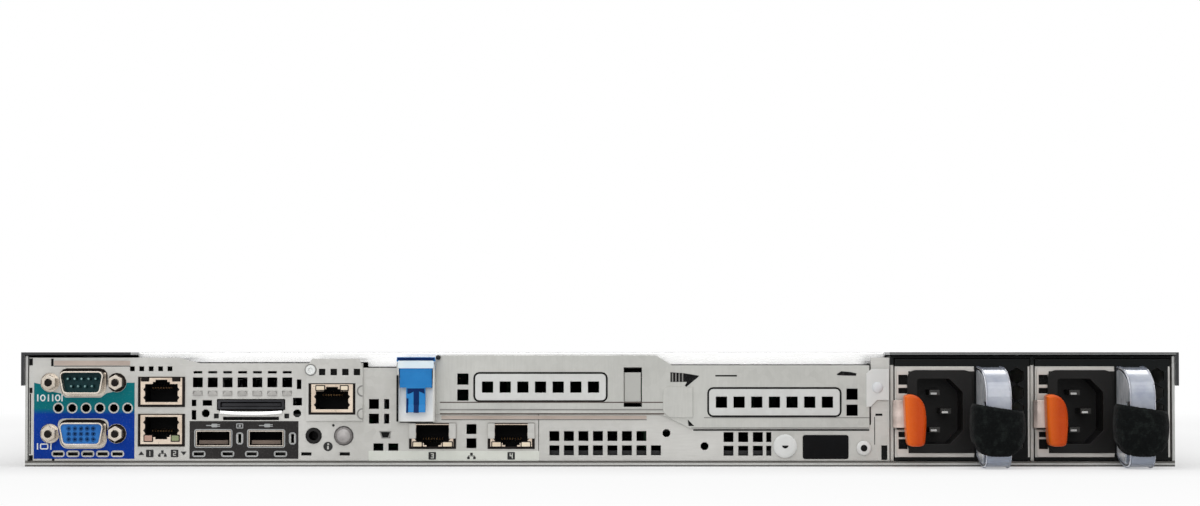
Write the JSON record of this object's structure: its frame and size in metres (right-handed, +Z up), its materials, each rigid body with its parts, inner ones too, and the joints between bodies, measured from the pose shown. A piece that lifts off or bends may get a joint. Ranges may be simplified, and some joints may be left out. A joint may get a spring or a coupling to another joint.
{
  "type": "rack server",
  "caption": "One-unit rack server with a ported rear wall, card slots, plug-in power supplies, sliding cover and drives on levers.",
  "frame": {"origin": "on the surface that the server stands on, under the middle of its overall box", "axes": "+X to the right of someone facing the rear wall, +Y from the rear wall to the drives, +Z up"},
  "size_m": [0.4824, 0.661, 0.0428],
  "materials": {
    "zinc_steel": "zinc-plated sheet, fine grain",
    "cover_steel": "zinc-plated sheet with a black edge at the rear",
    "bright_steel": "bright plated",
    "dark_case": "dark coated sheet",
    "black_plastic": "moulded, fine grain",
    "black_fabric": "hook-and-loop tape",
    "clear_plastic": "translucent, smooth",
    "orange_plastic": "moulded, satin",
    "blue_plastic": "moulded, satin",
    "vga_blue": "moulded",
    "serial_teal": "moulded",
    "grey_plastic": "moulded, satin",
    "board_green": "solder mask",
    "fin_aluminium": "milled",
    "drive_metal": "cast",
    "contact_brass": "plated"
  },
  "bodies": {
    "chassis": {"chassis_tray": "zinc_steel", "rear_panel": "zinc_steel", "management_plate": "zinc_steel", "panel_screws": "bright_steel", "riser_cage": "zinc_steel", "slot_fillers": "bright_steel", "dsub_shells": "bright_steel", "serial_insert": "serial_teal", "vga_insert": "vga_blue", "jack_screws": "bright_steel", "lan_jack_stack": "bright_steel", "lan_jacks": "bright_steel", "usb_ports": "bright_steel", "usb_tongues": "black_plastic", "management_card": "board_green", "media_card_slot": "black_plastic", "status_jack": "black_plastic", "psu_cage": "zinc_steel", "fan_frames": "black_plastic", "motherboard": "board_green", "heat_sinks": "fin_aluminium", "memory_modules": "board_green", "riser_boards": "board_green", "drive_cage": "cover_steel", "backplane": "board_green", "rack_ears": "dark_case"},
    "cover": {"top_cover": "cover_steel"},
    "cover_latch": {"cover_latch": "blue_plastic"},
    "card_latch": {"card_latch": "blue_plastic"},
    "id_button": {"id_button": "grey_plastic"},
    "power_button": {"power_button": "grey_plastic"},
    "psu_1": {"psu_1_case": "dark_case", "psu_1_face": "bright_steel", "psu_1_inlet": "black_plastic", "psu_1_blades": "contact_brass", "psu_1_handle": "clear_plastic", "psu_1_strap": "black_fabric"},
    "psu_1_latch": {"psu_1_latch": "orange_plastic"},
    "psu_1_fan": {"psu_1_fan_rotor": "black_plastic"},
    "psu_2": {"psu_2_case": "dark_case", "psu_2_face": "bright_steel", "psu_2_inlet": "black_plastic", "psu_2_blades": "contact_brass", "psu_2_handle": "clear_plastic", "psu_2_strap": "black_fabric"},
    "psu_2_latch": {"psu_2_latch": "orange_plastic"},
    "psu_2_fan": {"psu_2_fan_rotor": "black_plastic"},
    "fan_1": {"fan_rotor_1": "black_plastic"},
    "fan_2": {"fan_rotor_2": "black_plastic"},
    "fan_3": {"fan_rotor_3": "black_plastic"},
    "fan_4": {"fan_rotor_4": "black_plastic"},
    "fan_5": {"fan_rotor_5": "black_plastic"},
    "drive_1": {"drive_1": "drive_metal"},
    "drive_1_handle": {"drive_1_handle": "black_plastic"},
    "drive_2": {"drive_2": "drive_metal"},
    "drive_2_handle": {"drive_2_handle": "black_plastic"},
    "drive_3": {"drive_3": "drive_metal"},
    "drive_3_handle": {"drive_3_handle": "black_plastic"},
    "drive_4": {"drive_4": "drive_metal"},
    "drive_4_handle": {"drive_4_handle": "black_plastic"}
  },
  "joints": [
    {"name": "cover_slide", "type": "slide", "parent": "chassis", "child": "cover", "axis": [0, -1, 0], "range_m": [0, 0.012]},
    {"name": "cover_latch_lift", "type": "hinge", "parent": "cover", "child": "cover_latch", "pos_m": [0, -0.0051, 0.0382], "axis": [1, 0, 0], "range_deg": [0, 90.01]},
    {"name": "card_latch_swing", "type": "hinge", "parent": "chassis", "child": "card_latch", "pos_m": [-0.0688, -0.3, 0.037], "axis": [-1, 0, 0], "range_deg": [0, 90]},
    {"name": "id_button_push", "type": "slide", "parent": "chassis", "child": "id_button", "axis": [0, 1, 0], "range_m": [0, 0.001], "stiffness_N_per_m": 400},
    {"name": "power_button_push", "type": "slide", "parent": "chassis", "child": "power_button", "axis": [0, -1, 0], "range_m": [0, 0.001], "stiffness_N_per_m": 400},
    {"name": "psu_1_slide", "type": "slide", "parent": "chassis", "child": "psu_1", "axis": [0, -1, 0], "range_m": [0, 0.235]},
    {"name": "psu_1_latch_press", "type": "hinge", "parent": "psu_1", "child": "psu_1_latch", "pos_m": [0.1127, -0.2845, 0.018], "axis": [0, 0, 1], "range_deg": [0, 5], "stiffness_Nm_per_rad": 1},
    {"name": "psu_1_fan_spin", "type": "hinge", "parent": "psu_1", "child": "psu_1_fan", "pos_m": [0.1359, -0.2465, 0.0213], "axis": [0, -1, 0], "continuous": true},
    {"name": "psu_2_slide", "type": "slide", "parent": "chassis", "child": "psu_2", "axis": [0, -1, 0], "range_m": [0, 0.235]},
    {"name": "psu_2_latch_press", "type": "hinge", "parent": "psu_2", "child": "psu_2_latch", "pos_m": [0.1653, -0.2845, 0.018], "axis": [0, 0, 1], "range_deg": [0, 5], "stiffness_Nm_per_rad": 1},
    {"name": "psu_2_fan_spin", "type": "hinge", "parent": "psu_2", "child": "psu_2_fan", "pos_m": [0.1885, -0.2465, 0.0213], "axis": [0, -1, 0], "continuous": true},
    {"name": "fan_1_spin", "type": "hinge", "parent": "chassis", "child": "fan_1", "pos_m": [-0.188, 0.0825, 0.021], "axis": [0, -1, 0], "continuous": true},
    {"name": "fan_2_spin", "type": "hinge", "parent": "chassis", "child": "fan_2", "pos_m": [-0.12, 0.0825, 0.021], "axis": [0, -1, 0], "continuous": true},
    {"name": "fan_3_spin", "type": "hinge", "parent": "chassis", "child": "fan_3", "pos_m": [-0.052, 0.0825, 0.021], "axis": [0, -1, 0], "continuous": true},
    {"name": "fan_4_spin", "type": "hinge", "parent": "chassis", "child": "fan_4", "pos_m": [0.016, 0.0825, 0.021], "axis": [0, -1, 0], "continuous": true},
    {"name": "fan_5_spin", "type": "hinge", "parent": "chassis", "child": "fan_5", "pos_m": [0.084, 0.0825, 0.021], "axis": [0, -1, 0], "continuous": true},
    {"name": "drive_1_slide", "type": "slide", "parent": "chassis", "child": "drive_1", "axis": [0, 1, 0], "range_m": [0, 0.155]},
    {"name": "drive_1_handle_swing", "type": "hinge", "parent": "drive_1", "child": "drive_1_handle", "pos_m": [-0.2022, 0.3085, 0.0114], "axis": [0, 0, 1], "range_deg": [0, 75]},
    {"name": "drive_2_slide", "type": "slide", "parent": "chassis", "child": "drive_2", "axis": [0, 1, 0], "range_m": [0, 0.155]},
    {"name": "drive_2_handle_swing", "type": "hinge", "parent": "drive_2", "child": "drive_2_handle", "pos_m": [-0.0956, 0.3085, 0.0114], "axis": [0, 0, 1], "range_deg": [0, 75]},
    {"name": "drive_3_slide", "type": "slide", "parent": "chassis", "child": "drive_3", "axis": [0, 1, 0], "range_m": [0, 0.155]},
    {"name": "drive_3_handle_swing", "type": "hinge", "parent": "drive_3", "child": "drive_3_handle", "pos_m": [0.011, 0.3085, 0.0114], "axis": [0, 0, 1], "range_deg": [0, 75]},
    {"name": "drive_4_slide", "type": "slide", "parent": "chassis", "child": "drive_4", "axis": [0, 1, 0], "range_m": [0, 0.155]},
    {"name": "drive_4_handle_swing", "type": "hinge", "parent": "drive_4", "child": "drive_4_handle", "pos_m": [0.1176, 0.3085, 0.0114], "axis": [0, 0, 1], "range_deg": [0, 75]}
  ],
  "couplings": [
    {"joint": "cover_latch_lift", "follows": "cover_slide", "rad_per_m": 130.9}
  ]
}
